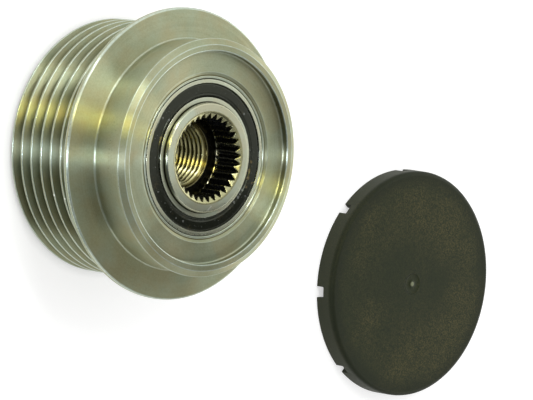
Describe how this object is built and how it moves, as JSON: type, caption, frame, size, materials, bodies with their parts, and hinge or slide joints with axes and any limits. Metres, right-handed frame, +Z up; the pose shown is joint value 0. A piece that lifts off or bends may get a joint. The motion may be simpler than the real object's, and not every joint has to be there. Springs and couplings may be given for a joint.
{
  "type": "overrunning alternator pulley",
  "caption": "Belt-driven freewheel pulley with V ribs, flange and collar, sealed bearings, splined and threaded hub, and its round push-fit cap beside it.",
  "frame": {"origin": "middle of the whole object at the surface it stands on, between the pulley and the cap", "axes": "+X from the pulley towards the cap, +Z up along the pulley's axis towards its front end"},
  "size_m": [0.1784, 0.0702, 0.0373],
  "materials": {
    "turned_plated_steel": "turned, yellowish plating",
    "hub_steel": "ground",
    "bearing_steel": "ground",
    "roller_steel": "ground",
    "drawn_cup_steel": "hardened",
    "spring_steel": "strip",
    "seal_rubber": "satin, with specks of grease",
    "cage_polyamide": "moulded",
    "cap_plastic": "moulded, mottled"
  },
  "bodies": {
    "hub_side": {"hub": "hub_steel", "front_inner_race": "bearing_steel", "rear_inner_race": "bearing_steel", "protective_cap": "cap_plastic"},
    "pulley_side": {"pulley_ring": "turned_plated_steel", "front_outer_race": "bearing_steel", "front_seal": "seal_rubber", "rear_outer_race": "bearing_steel", "rear_seal": "seal_rubber", "clutch_cup": "drawn_cup_steel", "clutch_cage": "cage_polyamide", "clutch_roller_1": "roller_steel", "clutch_roller_2": "roller_steel", "clutch_roller_3": "roller_steel", "clutch_roller_4": "roller_steel", "clutch_roller_5": "roller_steel", "clutch_roller_6": "roller_steel", "clutch_roller_7": "roller_steel", "clutch_roller_8": "roller_steel", "clutch_spring_1": "spring_steel", "clutch_spring_2": "spring_steel", "clutch_spring_3": "spring_steel", "clutch_spring_4": "spring_steel", "clutch_spring_5": "spring_steel", "clutch_spring_6": "spring_steel", "clutch_spring_7": "spring_steel", "clutch_spring_8": "spring_steel"},
    "front_ball_train": {"front_cage": "cage_polyamide", "front_ball_01": "bearing_steel", "front_ball_02": "bearing_steel", "front_ball_03": "bearing_steel", "front_ball_04": "bearing_steel", "front_ball_05": "bearing_steel", "front_ball_06": "bearing_steel", "front_ball_07": "bearing_steel", "front_ball_08": "bearing_steel", "front_ball_09": "bearing_steel", "front_ball_10": "bearing_steel", "front_ball_11": "bearing_steel", "front_ball_12": "bearing_steel"},
    "rear_ball_train": {"rear_cage": "cage_polyamide", "rear_ball_01": "bearing_steel", "rear_ball_02": "bearing_steel", "rear_ball_03": "bearing_steel", "rear_ball_04": "bearing_steel", "rear_ball_05": "bearing_steel", "rear_ball_06": "bearing_steel", "rear_ball_07": "bearing_steel", "rear_ball_08": "bearing_steel", "rear_ball_09": "bearing_steel", "rear_ball_10": "bearing_steel", "rear_ball_11": "bearing_steel", "rear_ball_12": "bearing_steel"}
  },
  "joints": [
    {"name": "pulley_spin", "type": "hinge", "parent": "hub_side", "child": "pulley_side", "pos_m": [-0.05407, 0, 0], "axis": [0, 0, 1], "continuous": true},
    {"name": "front_ball_spin", "type": "hinge", "parent": "hub_side", "child": "front_ball_train", "pos_m": [-0.05407, 0, 0], "axis": [0, 0, 1], "continuous": true},
    {"name": "rear_ball_spin", "type": "hinge", "parent": "hub_side", "child": "rear_ball_train", "pos_m": [-0.05407, 0, 0], "axis": [0, 0, 1], "continuous": true}
  ],
  "couplings": [
    {"joint": "front_ball_spin", "follows": "pulley_spin", "ratio": 0.55484},
    {"joint": "rear_ball_spin", "follows": "pulley_spin", "ratio": 0.55484}
  ]
}
